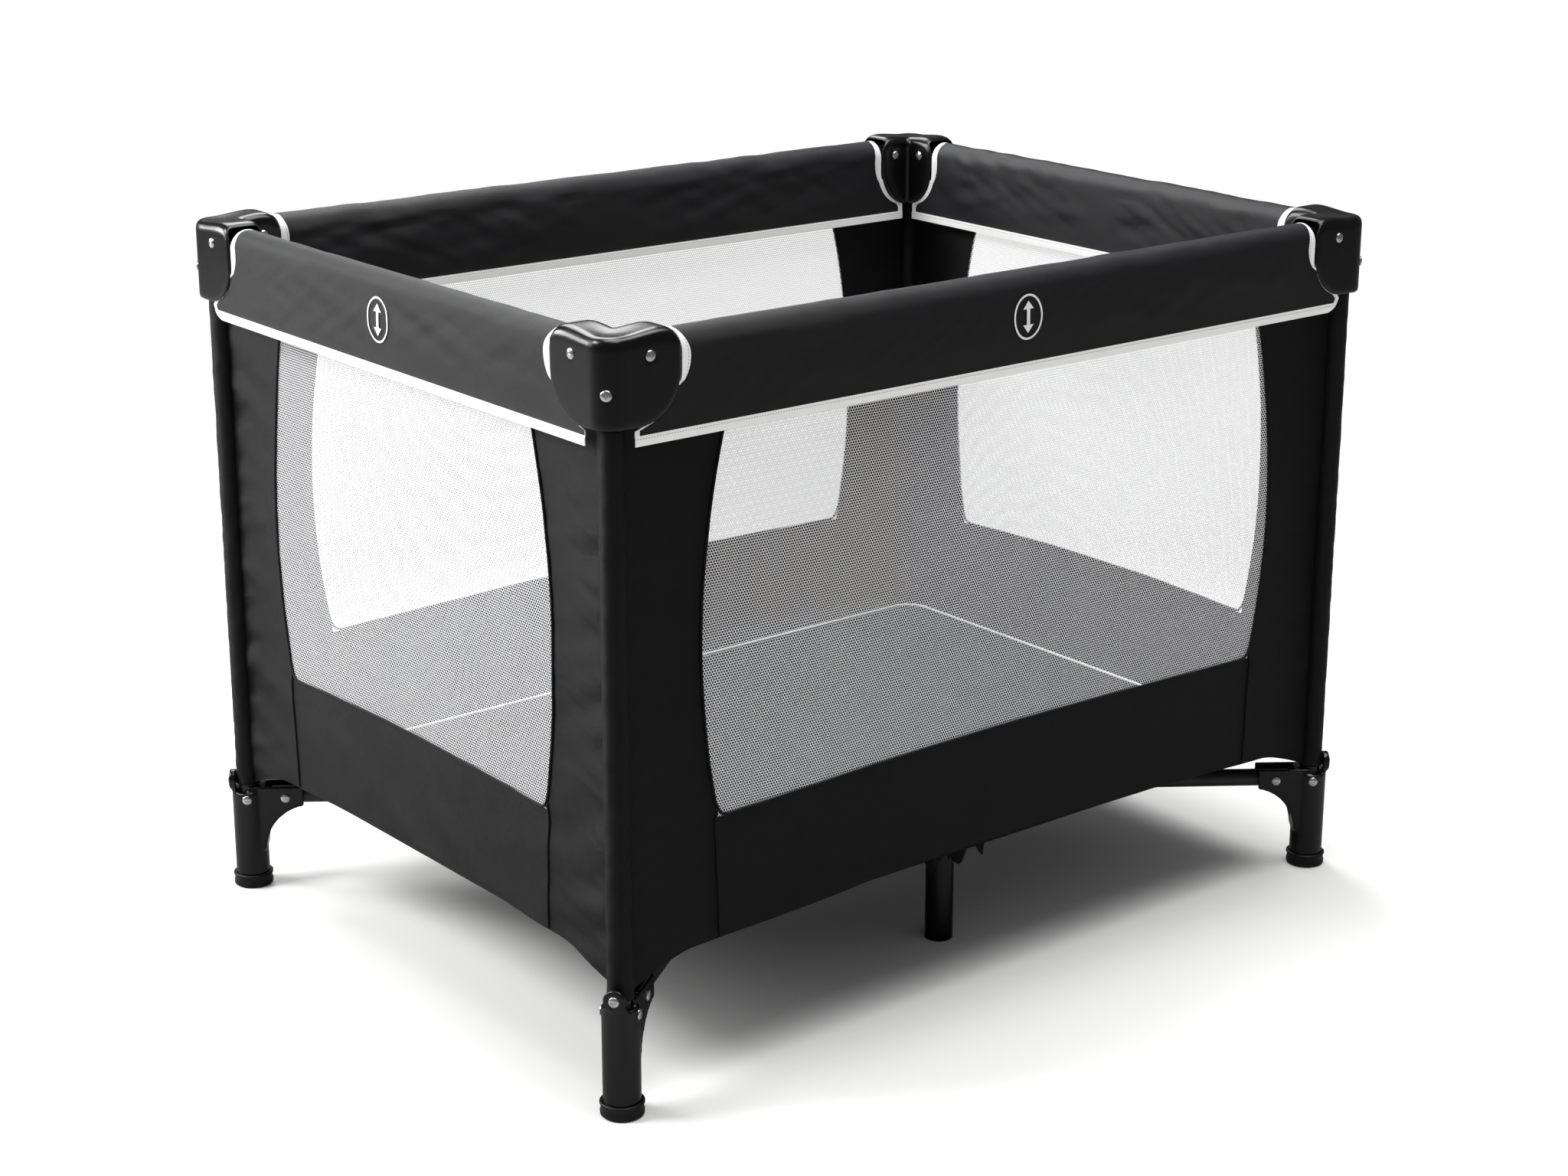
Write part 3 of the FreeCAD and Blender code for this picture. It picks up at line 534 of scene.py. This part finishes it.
BAND_COLUMNS, OPEN_COLUMNS, LOW_ROWS, OPEN_ROWS, TOP_ROWS = 22, 40, 22, 60, 2
for side, middle, swing, span, hand, corner in halves:
    panel = bmesh.new()
    columns, rows = BAND_COLUMNS + OPEN_COLUMNS, LOW_ROWS + OPEN_ROWS + TOP_ROWS
    bmesh.ops.create_grid(panel, x_segments=columns, y_segments=rows, size=0.5)
    hole = []
    for face in panel.faces:
        heart = face.calc_center_median()
        column, row = (heart.x + 0.5) * columns, (heart.y + 0.5) * rows
        if column > BAND_COLUMNS and LOW_ROWS < row < LOW_ROWS + OPEN_ROWS:
            hole.append(face)
    bmesh.ops.delete(panel, geom=hole, context="FACES")
    for v in panel.verts:
        column, row = (v.co.x + 0.5) * columns, (v.co.y + 0.5) * rows
        if column <= BAND_COLUMNS:
            rough_run = LEG_SEAM + (WINDOW_RUN - LEG_SEAM) * column / BAND_COLUMNS
        else:
            rough_run = WINDOW_RUN + (span - WINDOW_RUN) * (column - BAND_COLUMNS) / OPEN_COLUMNS
        low, foot = hem_line(rough_run, span), window_foot(rough_run, span)
        if row <= LOW_ROWS:
            z = low + (foot - low) * row / LOW_ROWS
        elif row <= LOW_ROWS + OPEN_ROWS:
            z = foot + (OPEN_TOP - foot) * (row - LOW_ROWS) / OPEN_ROWS
        else:
            z = OPEN_TOP + (WALL_TOP - OPEN_TOP) * (row - LOW_ROWS - OPEN_ROWS) / TOP_ROWS
        edge = window_edge(z)
        if column <= BAND_COLUMNS:
            run_here = LEG_SEAM - SEAM_TUCK + (edge - LEG_SEAM + SEAM_TUCK) * column / BAND_COLUMNS
        else:
            run_here = edge + (span - edge) * (column - BAND_COLUMNS) / OPEN_COLUMNS
        out = crease(side, hand, span, run_here, z)
        v.co = on_side(middle, swing, span, hand, run_here, out, z)
    crisp_rim(panel)
    made = piece("wall_%s_%s" % (side, corner), panel, black_cloth, "post_" + corner)
    thicken(made, CLOTH_THICK, 0)
    squash_half(made, swing, middle, span, hand)
    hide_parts("cloth_wall_" + corner)

# ---------------------------------------------------------------- leg sleeves
# The walls' black polyester, sewn close round each leg tube from the bracket
# down to the foot. It wrinkles in short bands up the whole leg and flares a
# little over the foot.
TUBE_LOW, TUBE_LONG, TUBE_RADIUS = 0.1235, 0.5645, 0.0122
FLARE, FLARE_LONG, WRINKLE = 0.0006, 0.012, 0.0005
TUBE_CLOTH = 0.0008
for corner, (x, y) in corners.items():
    tube = bmesh.new()
    bmesh.ops.create_grid(tube, x_segments=40, y_segments=190, size=0.5)
    for v in tube.verts:
        angle = (v.co.x + 0.5) * math.tau
        z = TUBE_LOW + (v.co.y + 0.5) * TUBE_LONG
        ripple = WRINKLE * wave(math.cos(angle) * 1.3, math.sin(angle) * 1.3 + x, z * 85)
        ripple += WRINKLE * wave(math.cos(angle) * 0.8 + y, math.sin(angle) * 0.8, z * 34)
        radius = TUBE_RADIUS + ripple + FLARE * max(0, 1 - (z - TUBE_LOW) / FLARE_LONG)
        v.co = Vector((x + radius * math.cos(angle), y + radius * math.sin(angle), z))
    bmesh.ops.remove_doubles(tube, verts=tube.verts, dist=1e-5)
    bmesh.ops.recalc_face_normals(tube, faces=tube.faces)
    made = piece("leg_sleeve_" + corner, tube, black_cloth, "post_" + corner)
    thicken(made, TUBE_CLOTH, 1)
    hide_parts("cloth_wall_" + corner)

# ---------------------------------------------------------------- mesh windows
# White polyester net, knitted with round holes in staggered rows and sewn in
# behind a black piping. From a few steps away it reads as a pale veil.
net, shader, place = finish_of("white_net", Roughness=0.6)
PITCH, HOLE_EDGE, THREAD_EDGE = 0.0031, 0.00116, 0.00142
NET_TUCK, NET_LAP, NET_BEHIND = 0.004, 0.002, 0.0003
run, rise = place.part("X") + place.part("Y"), place.part("Z")


def cell(wire, pitch, shift):
    """Distance from the nearest cell centre along one direction."""
    return ((wire * (1 / pitch) + shift).maths("FRACT") - 0.5) * pitch


def ring_distance(shift):
    """Distance from the nearest hole of every other row."""
    across = cell(run, PITCH, shift)
    up = cell(rise, PITCH * math.sqrt(3), shift)
    return (across * across + up * up).maths("SQRT")


nearest = ring_distance(0.0).maths("MINIMUM", ring_distance(0.5))
thread = nearest.smooth(HOLE_EDGE, THREAD_EDGE)
feed(shader, "Alpha", thread)
yarn = place.noise(900, 2)
feed(shader, "Base Color", yarn.between((0.80, 0.80, 0.81, 1), (0.92, 0.92, 0.93, 1)))
bump(shader, nearest * 800, 0.0002, 0.5)
for side, middle, swing, span, hand, corner in halves:
    window = bmesh.new()
    bmesh.ops.create_grid(window, x_segments=36, y_segments=40, size=0.5)
    for v in window.verts:
        across, up = v.co.x + 0.5, v.co.y + 0.5
        foot = window_foot(WINDOW_RUN + (span - WINDOW_RUN) * across, span) - NET_TUCK
        z = foot + (OPEN_TOP + NET_LAP - foot) * up
        run_here = window_edge(z) - NET_TUCK
        run_here += (span - run_here) * across
        sway = crease(side, hand, span, run_here, z) - NET_BEHIND
        v.co = on_side(middle, swing, span, hand, run_here, sway, z)
    made = piece("net_%s_%s" % (side, corner), window, net, "post_" + corner)
    squash_half(made, swing, middle, span, hand)
    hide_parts("cloth_wall_" + corner)

# ---------------------------------------------------------------- window piping
# A thin black cord in folded tape, sewn round the open edge of each window up
# the leg side and along the foot. A raised seam of the same black polyester
# runs on from the window's lower corner to the hem.
WELT, SEAM_CORD, PROUD = 0.0015, 0.0013, 0.0008
SIDE_END, FOOT_START = 0.292, 0.124
SEAM_START, SEAM_BEND, SEAM_LEAN = 0.286, 0.28, 0.006


def cord_of(points, radius, closed=False):
    """A bmesh of a round cord along points."""
    curve = bpy.data.curves.new("cord", "CURVE")
    curve.dimensions = "3D"
    curve.bevel_depth = radius
    curve.bevel_resolution = 3
    curve.resolution_u = 6
    spline = curve.splines.new("NURBS")
    spline.points.add(len(points) - 1)
    for point, place_now in zip(spline.points, points):
        point.co = (*place_now, 1)
    spline.order_u = 3
    spline.use_endpoint_u = not closed
    spline.use_cyclic_u = closed
    curve.use_fill_caps = not closed
    holder = bpy.data.objects.new("cord", curve)
    mesh = bmesh.new()
    mesh.from_mesh(bpy.data.meshes.new_from_object(holder))
    bpy.data.objects.remove(holder)
    return mesh


for side, middle, swing, span, hand, corner in halves:
    route = []
    for step in range(21):
        z = OPEN_TOP - (OPEN_TOP - SIDE_END) * step / 20
        route.append((window_edge(z), z))
    for step in range(17):
        run_here = FOOT_START + (span - FOOT_START) * step / 16
        route.append((run_here, window_foot(run_here, span)))
    drop = []
    for step in range(13):
        z = SEAM_START - (SEAM_START - hem_line(0.11, span)) * step / 12
        if z > SEAM_BEND:
            run_here = window_edge(z)
        else:
            run_here = window_edge(SEAM_BEND) - 0.004 + SEAM_LEAN * (SEAM_BEND - z) / 0.13
        drop.append((run_here, z))
    welt, seam = [cord_of([
        on_side(middle, swing, span, hand, run_here, PROUD + crease(side, hand, span, run_here, z), z)
        for run_here, z in line], radius) for line, radius in ((route, WELT), (drop, SEAM_CORD))]
    seam_data = bpy.data.meshes.new("seam")
    seam.to_mesh(seam_data)
    seam.free()
    welt.from_mesh(seam_data)
    made = piece("piping_%s_%s" % (side, corner), welt, black_cloth, "post_" + corner)
    squash_half(made, swing, middle, span, hand)

# ---------------------------------------------------------------- rail sleeves
# Padded black cloth folded over each top rail, with a skirt on both sides that
# covers the upper edge of the wall. A white satin tape binds the lower edges
# and the curved ends beside the brackets, sewn with one row of stitches.
rail_cloth, shader, place = finish_of("rail_polyester", Specular_IOR_Level=0.38)
run, rise = place.part("X") + place.part("Y"), place.part("Z")
weave = woven(run, rise, THREAD)
slub = place.noise(240, 3)
feed(shader, "Base Color", slub.between((0.0030, 0.0030, 0.0042, 1), (0.0060, 0.0060, 0.0082, 1)))
feed(shader, "Roughness", slub * 0.14 + weave * 0.05 + 0.40)
bump(shader, weave * 0.5 + slub * 0.9, 0.00025, 0.5)
tape, shader, place = finish_of("white_tape", Sheen_Weight=0.3)
surface = place.node("ShaderNodeUVMap", {"uv_map": "strip"})
along, across = surface.part("X"), surface.part("Y")
STITCH_LONG, STITCH_ROW, TAPE_RIB = 0.0032, 0.0068, 0.0007
dash = (along * (1 / STITCH_LONG)).maths("FRACT").smooth(0.3, 0.42)
beside = (across - STITCH_ROW).maths("ABSOLUTE").smooth(0.0003, 0.00055)
stitch = (1 - beside) * dash
ribs = (along * (math.tau / TAPE_RIB)).maths("SINE")
soil = place.noise(60, 3)
cream = soil.between((0.80, 0.80, 0.79, 1), (0.88, 0.88, 0.87, 1))
feed(shader, "Base Color", stitch.between(cream, (0.42, 0.42, 0.42, 1)))
feed(shader, "Roughness", soil * 0.2 + 0.35)
bump(shader, ribs * 0.12 - stitch + soil, 0.0004, 0.6)

ARC_Z, ARC_RADIUS, SKIRT, TAPE_WIDE = 0.752, 0.0195, 0.672, 0.0095
SKIRT_OUT, TAPE_OUT = 0.0186, 0.0193
CURVE, BRACKET_LOW, CHEEK_Z, CHEEK_HIGH = 0.048, 0.689, 0.722, 0.052
OUTER_START, INNER_START = 0.0128, 0.029
ROUND_TOP, ROUND_HIGH, ROUND_START, ROUND_RUN = 0.692, 0.0205, 0.020, 0.024
ROUNDED = (("front", "nr"), ("left", "fl"))
PLAIN = (("left", "nl"),)
MARK_CALM = 0.032
BIG_FOLD, SMALL_FOLD, SKIRT_LEAN = 0.0018, 0.0011, 0.0012
RUMPLE = {"front": 1.1, "right": 2.4, "back": 1.9, "left": 1.2}


def wing_outline(z):
    """How far the bracket reaches from the leg axis at a height."""
    if z >= BRACKET_LOW + CURVE:
        return WING
    drop = min(BRACKET_LOW + CURVE - z, CURVE)
    return WING - CURVE + math.sqrt(CURVE * CURVE - drop * drop)


def sleeve_end(z, inner, rounded, plain):
    """Where the sleeve starts at a height, and where its end tape stops."""
    if plain and not inner and z < BRACKET_LOW:
        return OUTER_START, OUTER_START + 0.0003
    if rounded and not inner and z < CHEEK_Z:
        drop = unit((ROUND_TOP - z) / ROUND_HIGH)
        start = ROUND_START + ROUND_RUN * (1 - math.sqrt(1 - drop * drop))
        if z >= BRACKET_LOW:
            start = max(start, wing_outline(z) - 0.008)
        return start, max(start + 0.006, wing_outline(z) - 0.001 if z >= BRACKET_LOW else 0)
    least, tape_end = (INNER_START, INNER_START + 0.007) if inner else (OUTER_START, OUTER_START + 0.005)
    if z < BRACKET_LOW:
        return least, tape_end
    edge = wing_outline(z)
    if z < CHEEK_Z:
        start = max(edge - 0.005, least)
        return start, max(edge + (0.006 if inner else -0.001), start + 0.001, tape_end)
    swell = math.sin(math.pi * min((z - CHEEK_Z) / CHEEK_HIGH, 1))
    return edge + 0.0012, edge + 0.0026 + 0.0085 * swell + (0.004 if inner else 0) * (1 - swell)


def sleeve_puff(side, hand, span, run, z, inner):
    """Soft folds of the rail cloth, still beside the brackets and along the tape."""
    loose = unit((run - 0.075) / 0.05)
    high = math.sin(math.pi / 2 * unit((z - 0.684) / 0.05))
    seed, spot = SIDE_SEEDS[side] + (40 if inner and z < ARC_Z else 0), hand * (span - run)
    fold = BIG_FOLD * wave(spot * 14 + z * 50, z * 14 - spot * 5, seed)
    fold += SMALL_FOLD * wave(spot * 38 - z * 70, z * 30, seed + 5)
    fold *= 1 - 0.9 * math.exp(-(spot / MARK_CALM) ** 2)
    lean = SKIRT_LEAN * math.sin(math.pi * unit((z - SKIRT) / 0.08))
    return loose * high * (fold * RUMPLE[side] + lean)


TAPE_ROWS, SKIRT_ROWS, ARC_ROWS, LENGTH_COLUMNS = 4, 14, 14, 90
SLEEVE_START, SLEEVE_GIRTH, SLEEVE_CLOTH, END_TAPE_STEP = 0.0145, 0.2235, 0.0012, 0.0045
for side, middle, swing, span, hand, corner in halves:
    sleeve = bmesh.new()
    strip = sleeve.loops.layers.uv.new("strip")
    rows = 2 * (TAPE_ROWS + SKIRT_ROWS) + ARC_ROWS
    columns = 2 + LENGTH_COLUMNS
    bmesh.ops.create_grid(sleeve, x_segments=columns, y_segments=rows, size=0.5)
    laid = {}
    for v in sleeve.verts:
        column, row = round((v.co.x + 0.5) * columns), round((v.co.y + 0.5) * rows)
        inner = row > rows / 2
        step = rows - row if inner else row
        if step <= TAPE_ROWS:
            z, out = SKIRT + TAPE_WIDE * step / TAPE_ROWS, TAPE_OUT if step < TAPE_ROWS else SKIRT_OUT
            girth = z - SKIRT
        elif step <= TAPE_ROWS + SKIRT_ROWS:
            share = (step - TAPE_ROWS) / SKIRT_ROWS
            z = SKIRT + TAPE_WIDE + (ARC_Z - SKIRT - TAPE_WIDE) * share
            out = SKIRT_OUT + 0.0006 * share
            girth = z - SKIRT
        else:
            angle = math.pi / 2 * (step - TAPE_ROWS - SKIRT_ROWS) / (ARC_ROWS / 2)
            z, out = ARC_Z + ARC_RADIUS * math.sin(angle), ARC_RADIUS * math.cos(angle)
            girth = ARC_Z - SKIRT + ARC_RADIUS * angle
        start, edge = sleeve_end(z, inner, (side, corner) in ROUNDED, (side, corner) in PLAIN)
        if column == 0:
            run_here = start
        elif column == 1:
            run_here = (start + edge) / 2
        elif column == 2:
            run_here = edge
        else:
            run_here = edge + (span - edge) * ((column - 2) / LENGTH_COLUMNS)
        puff = sleeve_puff(side, hand, span, run_here, z, inner)
        away = -1 if inner else 1
        over_top = unit((z - ARC_Z) / 0.02)
        out += puff * (1 - over_top)
        v.co = on_side(middle, swing, span, hand, run_here, away * out, z + puff * over_top * 0.4)
        laid[v] = (run_here, girth, column, step)
    for face in sleeve.faces:
        end_tape = max(laid[v][2] for v in face.verts) <= 2
        edge_tape = max(laid[v][3] for v in face.verts) <= TAPE_ROWS
        face.material_index = 1 if end_tape or edge_tape else 0
        for loop in face.loops:
            run_here, girth, column, step = laid[loop.vert]
            if end_tape and not edge_tape:
                loop[strip].uv = (girth, END_TAPE_STEP * column)
            else:
                loop[strip].uv = (run_here, girth)
    crisp_rim(sleeve)
    body = "rail_%s_%s" % (side, "a" if hand < 0 else "b")
    made = piece("sleeve_%s_%s" % (side, corner), sleeve, [rail_cloth, tape], body)
    flat = (span - SLEEVE_START, SLEEVE_GIRTH)
    thicken(made, SLEEVE_CLOTH, -hand)
    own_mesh(made)
    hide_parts("rail_sleeve_" + side)

# ---------------------------------------------------------------- use marks
# A white oval ring with an upright double arrow, screen printed on each rail
# sleeve over the latch button, to show where to press and lift.
MARK_Z, MARK_OUT, PRINT_PROUD = 0.7285, 0.0192, 0.0018
MARK_RADIUS, MARK_TALL, RING_WIDE = 0.0195, 1.2, 0.0022
SHAFT_HALF, SHAFT_LONG, HEAD_HALF, HEAD_TIP = 0.0022, 0.008, 0.0072, 0.0165
ink, shader, place = finish_of("white_print", Roughness=0.5)
worn = place.noise(700, 3)
feed(shader, "Base Color", worn.between((0.66, 0.66, 0.66, 1), (0.84, 0.84, 0.84, 1)))
bump(shader, place.noise(1200, 2), 0.00005, 0.5)
for side, (middle, angle, span, ends) in sides.items():
    mark = bmesh.new()
    bmesh.ops.create_circle(mark, cap_ends=True, segments=64, radius=MARK_RADIUS)
    bmesh.ops.scale(mark, verts=mark.verts, vec=(1, MARK_TALL, 1))
    bmesh.ops.inset_region(
        mark, faces=mark.faces[:], thickness=RING_WIDE, use_boundary=True, use_even_offset=True)
    bmesh.ops.delete(mark, geom=[max(mark.faces, key=lambda f: f.calc_area())], context="FACES")
    for way in (-1, 1):
        neck = way * SHAFT_LONG
        shaft = ((-SHAFT_HALF, 0, 0), (SHAFT_HALF, 0, 0), (SHAFT_HALF, neck, 0), (-SHAFT_HALF, neck, 0))
        head = ((-HEAD_HALF, neck, 0), (HEAD_HALF, neck, 0), (0, way * HEAD_TIP, 0))
        for outline in (shaft, head):
            mark.faces.new([mark.verts.new(p) for p in outline])
    swing = Matrix.Rotation(math.radians(angle), 3, "Z")
    bmesh.ops.triangulate(mark, faces=mark.faces)
    bmesh.ops.subdivide_edges(mark, edges=[e for e in mark.edges if e.calc_length() > 0.006], cuts=2)
    bmesh.ops.triangulate(mark, faces=mark.faces)
    for v in mark.verts:
        hand, z = (-1 if v.co.x < 0 else 1), MARK_Z + v.co.y
        out = MARK_OUT + sleeve_puff(side, hand, span, span - abs(v.co.x), z, False) + PRINT_PROUD
        v.co = middle + swing @ Vector((v.co.x, -out, z))
    out_way = swing @ Vector((0, -1, 0))
    mark.normal_update()
    for face in mark.faces:
        if face.normal.dot(out_way) < 0:
            face.normal_flip()
    piece("mark_" + side, mark, ink, "latch_" + side, smooth=False)

# ---------------------------------------------------------------- floor cloth
# Coated black cloth under the mattress, sewn to the hem of the walls all
# round and hanging a little into the middle. It is made as four quarters,
# one over each base tube.
FLOOR_Z, FLOOR_GAP, LEG_HOLE = 0.1338, 0.002, 0.014
RIM_X, RIM_Y, RIM_SLOPE, RIM_RUN, RIM_OVER = 0.027, 0.045, 0.6, 0.026, 0.005
FLOOR_WAVE, FLOOR_KEEP = 0.0004, 0.12
for corner, (x, y) in corners.items():
    quarter = bmesh.new()
    bmesh.ops.create_grid(quarter, x_segments=50, y_segments=40, size=0.5)
    way = (1 if x > 0 else -1, 1 if y > 0 else -1)
    at_leg = []
    for v in quarter.verts:
        a, b = (v.co.x + 0.5) * (LEG_X - FLOOR_GAP), (v.co.y + 0.5) * (LEG_Y - FLOOR_GAP)
        rim = max(a - (LEG_X - RIM_X), (b - (LEG_Y - RIM_Y)) * RIM_SLOPE, 0) / RIM_RUN
        if LEG_Y - b < (LEG_X - a) * 1.2:
            goal = hem_line(LEG_X - a, LEG_X)
        else:
            goal = hem_line(LEG_Y - b, LEG_Y)
        z = FLOOR_Z + (goal + RIM_OVER - FLOOR_Z) * min(rim, 1) ** 1.2
        z += FLOOR_WAVE * wave(a * 20, b * 20, x)
        if math.hypot(LEG_X - a, LEG_Y - b) < LEG_HOLE:
            at_leg.append(v)
        v.co = Vector((way[0] * a, way[1] * b, z))
    bmesh.ops.delete(quarter, geom=at_leg, context="VERTS")
    bmesh.ops.recalc_face_normals(quarter, faces=quarter.faces)
    made = piece("floor_" + corner, quarter, black_cloth, "base_" + corner)
    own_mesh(made)
    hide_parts("floor_cloth")

# ---------------------------------------------------------------- ties
# A short strip of the floor's black cloth, sewn to the floor beside each middle
# leg and tied round the middle arm, so that the cloth lifts with the arms. Its
# loose ends hang just under the hem.
TIE_LONG, TIE_WIDE, TIE_DROP = 0.092, 0.034, 0.031
TIE_START, TIE_TOP, TIE_Y = -0.032, 0.1335, 0.2725
for hand, arm in ((-1, "front"), (1, "back")):
    tie = bmesh.new()
    bmesh.ops.create_grid(tie, x_segments=36, y_segments=14, size=0.5)
    for v in tie.verts:
        across, down = v.co.x + 0.5, 0.5 - v.co.y
        low = TIE_DROP + 0.009 * math.sin(across * 15 - 1) + 0.008 * wave(across * 7, hand, 4)
        x = TIE_START + TIE_LONG * across
        y = TIE_Y + 0.006 * wave(across * 5, down * 2, hand) + 0.004 * math.sin(down * 3)
        v.co = Vector((-hand * x, hand * y, TIE_TOP - low * down))
    bmesh.ops.recalc_face_normals(tie, faces=tie.faces)
    crisp_rim(tie)
    made = piece("tie_" + arm, tie, black_cloth, "arm_" + arm)

# ---------------------------------------------------------------- mattress
# A folding foam mattress in black woven cloth: four panels side by side, each
# slightly crowned, with sewn grooves between them and white piping round the
# upper edge. It lies loose on the floor cloth.
PAD_THREAD = 0.0008
PAD_TOP, PAD_X, PAD_Y = 0.1585, 0.468, 0.315
PANEL_SEAMS = (-0.234, 0, 0.234)
GROOVE_DEEP, GROOVE_WIDE = 0.006, 0.007
CROWN_HIGH, CROWN_RUN, PAD_WAVE, PAD_EDGE = 0.0025, 0.05, 0.0008, 0.008
PIPING, PIPING_CORNER = 0.0016, 0.03
pad_cloth, shader, place = finish_of("mattress_cloth", Specular_IOR_Level=0.08)
run, rise = place.part("X"), place.part("Y")
weave = woven(run, rise, PAD_THREAD)
slub = place.noise(180, 3)
feed(shader, "Base Color", slub.between((0.006, 0.006, 0.007, 1), (0.010, 0.010, 0.0115, 1)))
feed(shader, "Roughness", slub * 0.15 + 0.55)
bump(shader, weave * 0.4 + slub, 0.0003, 0.6)
pad = softened("mattress", 0.006, 4)
for v in pad.verts:
    if v.co.z > PAD_TOP - PAD_EDGE:
        fold = min(abs(v.co.x - seam) for seam in PANEL_SEAMS)
        groove = math.exp(-(fold / GROOVE_WIDE) ** 2)
        edge = min(PAD_X - abs(v.co.x), PAD_Y - abs(v.co.y))
        crown = CROWN_HIGH * (1 - math.exp(-max(edge, 0) / CROWN_RUN))
        crown += PAD_WAVE * wave(v.co.x * 14, v.co.y * 14, 2)
        v.co.z += crown - GROOVE_DEEP * groove
smooth_once(pad)


def fold_mattress(made):
    """Gives a piece of the mattress a mesh of its own."""
    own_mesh(made)


made = piece("mattress_pad", pad, pad_cloth, "mattress")
fold_mattress(made)
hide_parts("mattress")
edge_points = []
for sx, sy, start in ((1, 1, 0), (-1, 1, 90), (-1, -1, 180), (1, -1, 270)):
    heart = Vector((sx * (PAD_X - PIPING_CORNER), sy * (PAD_Y - PIPING_CORNER), PAD_TOP))
    for step in range(6):
        angle = math.radians(start + 18 * step)
        edge_points.append(heart + Vector((math.cos(angle), math.sin(angle), 0)) * PIPING_CORNER)
welt = cord_of(edge_points, PIPING, closed=True)
made = piece("mattress_piping", welt, tape, "mattress")
fold_mattress(made)
